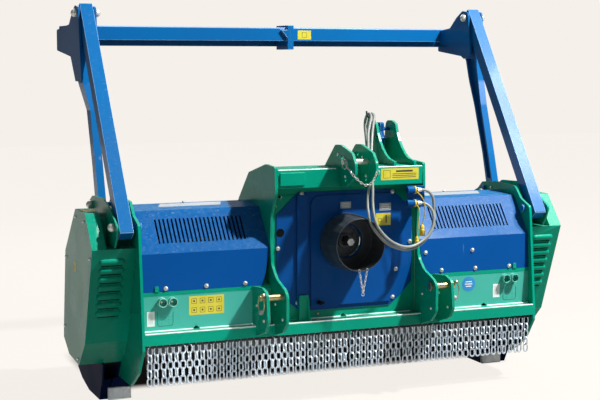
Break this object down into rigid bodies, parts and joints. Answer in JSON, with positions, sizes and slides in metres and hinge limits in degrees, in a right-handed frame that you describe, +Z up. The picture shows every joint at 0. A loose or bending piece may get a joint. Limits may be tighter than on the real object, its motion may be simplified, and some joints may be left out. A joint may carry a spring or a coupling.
{
  "type": "forestry mulcher",
  "caption": "Tractor-mounted forestry mulcher with headstock, hooded belt drive, toothed rotor, chain curtain, skids, rear door and push frame.",
  "frame": {"origin": "middle of the box round the rigid part, on the ground under the skids", "axes": "+X along the working width to the right-hand end seen from the tractor side, -Y towards the tractor, +Z up"},
  "size_m": [2.326, 1.329, 1.7956],
  "materials": {
    "green_enamel": "gloss sprayed enamel on sheet and plate steel",
    "blue_enamel": "gloss sprayed enamel on tube and folded sheet",
    "dark_blue_enamel": "gloss sprayed enamel",
    "black_plastic": "moulded, fine grain",
    "machined_steel": "turned, lightly oiled",
    "zinc_plate": "zinc plated, bright",
    "galvanised_chain": "galvanised, dull",
    "cast_iron": "as cast, dark primer",
    "belt_rubber": "fabric-faced rubber",
    "grey_hose_cover": "wrapped rubber cover, satin",
    "bare_wear_steel": "bare, scuffed"
  },
  "bodies": {
    "machine_frame": {"side_plate_left": "green_enamel", "side_plate_right": "green_enamel", "front_beam": "green_enamel", "housing_shell": "green_enamel", "front_panel_left": "green_enamel", "front_panel_right": "green_enamel", "centre_plate_left": "green_enamel", "centre_plate_right": "green_enamel", "hitch_lug_left": "green_enamel", "hitch_lug_right": "green_enamel", "top_beam": "green_enamel", "top_link_bracket": "green_enamel", "parking_mast": "green_enamel", "hose_hook": "black_plastic", "hood_left": "blue_enamel", "hood_right": "blue_enamel", "cover_frame": "green_enamel", "gearbox_cover": "dark_blue_enamel", "pto_guard": "black_plastic", "gearbox": "cast_iron", "drive_belt_left": "belt_rubber", "drive_belt_right": "belt_rubber", "belt_cover_left": "green_enamel", "belt_cover_right": "green_enamel", "rotor_bearing_left": "cast_iron", "rotor_bearing_right": "cast_iron", "counter_blade": "bare_wear_steel", "cylinder_barrel_left": "black_plastic", "cylinder_barrel_right": "black_plastic", "skid_left": "dark_blue_enamel", "skid_right": "dark_blue_enamel", "wear_strip_left": "bare_wear_steel", "wear_strip_right": "bare_wear_steel", "frame_bracket_left": "green_enamel", "frame_bracket_right": "green_enamel", "brace_left": "blue_enamel", "brace_right": "blue_enamel", "strut_left": "blue_enamel", "strut_right": "blue_enamel", "push_bar_left": "blue_enamel", "push_bar_right": "blue_enamel", "coupler_holder": "dark_blue_enamel", "hose_a": "grey_hose_cover", "hose_b": "grey_hose_cover", "lower_hitch_pin_left": "zinc_plate", "lower_hitch_pin_right": "zinc_plate", "top_link_pin": "zinc_plate"},
    "rotor_body": {"rotor": "machined_steel", "lower_pulley_left": "cast_iron", "lower_pulley_right": "cast_iron"},
    "cross_drive": {"cross_shaft": "machined_steel", "upper_pulley_left": "cast_iron", "upper_pulley_right": "cast_iron"},
    "input_drive": {"input_shaft": "machined_steel"},
    "door": {"rear_door": "green_enamel"},
    "door_rod_left": {"piston_rod_left": "machined_steel"},
    "door_rod_right": {"piston_rod_right": "machined_steel"},
    "curtain_left": {"chain_curtain_left": "galvanised_chain"},
    "curtain_right": {"chain_curtain_right": "galvanised_chain"},
    "latch": {"hitch_latch": "blue_enamel"}
  },
  "joints": [
    {"name": "rotor_spin", "type": "hinge", "parent": "machine_frame", "child": "rotor_body", "pos_m": [0, -0.0395, 0.31], "axis": [1, 0, 0], "continuous": true},
    {"name": "cross_shaft_spin", "type": "hinge", "parent": "machine_frame", "child": "cross_drive", "pos_m": [0, -0.1395, 0.72], "axis": [1, 0, 0], "continuous": true},
    {"name": "input_shaft_spin", "type": "hinge", "parent": "machine_frame", "child": "input_drive", "pos_m": [0, -0.4995, 0.72], "axis": [0, 1, 0], "continuous": true},
    {"name": "door_hinge", "type": "hinge", "parent": "machine_frame", "child": "door", "pos_m": [0, 0.3005, 0.55], "axis": [1, 0, 0], "range_deg": [0, 50]},
    {"name": "rod_slide_left", "type": "slide", "parent": "machine_frame", "child": "door_rod_left", "axis": [0, 0.9767, -0.2147], "range_m": [-0.0812, 0]},
    {"name": "rod_slide_right", "type": "slide", "parent": "machine_frame", "child": "door_rod_right", "axis": [0, 0.9767, -0.2147], "range_m": [-0.0812, 0]},
    {"name": "curtain_swing_left", "type": "hinge", "parent": "machine_frame", "child": "curtain_left", "pos_m": [-0.48, -0.4795, 0.309], "axis": [1, 0, 0], "range_deg": [-70, 25]},
    {"name": "curtain_swing_right", "type": "hinge", "parent": "machine_frame", "child": "curtain_right", "pos_m": [0.48, -0.4795, 0.309], "axis": [1, 0, 0], "range_deg": [-70, 25]},
    {"name": "latch_swing", "type": "hinge", "parent": "machine_frame", "child": "latch", "pos_m": [0.27, -0.2375, 1.213], "axis": [1, 0, 0], "range_deg": [-60, 0]}
  ],
  "couplings": [
    {"joint": "cross_shaft_spin", "follows": "rotor_spin", "ratio": 0.8544},
    {"joint": "input_shaft_spin", "follows": "rotor_spin", "ratio": 0.8544},
    {"joint": "rod_slide_left", "follows": "door_hinge", "m_per_rad": -0.0929},
    {"joint": "rod_slide_right", "follows": "door_hinge", "m_per_rad": -0.0929}
  ]
}
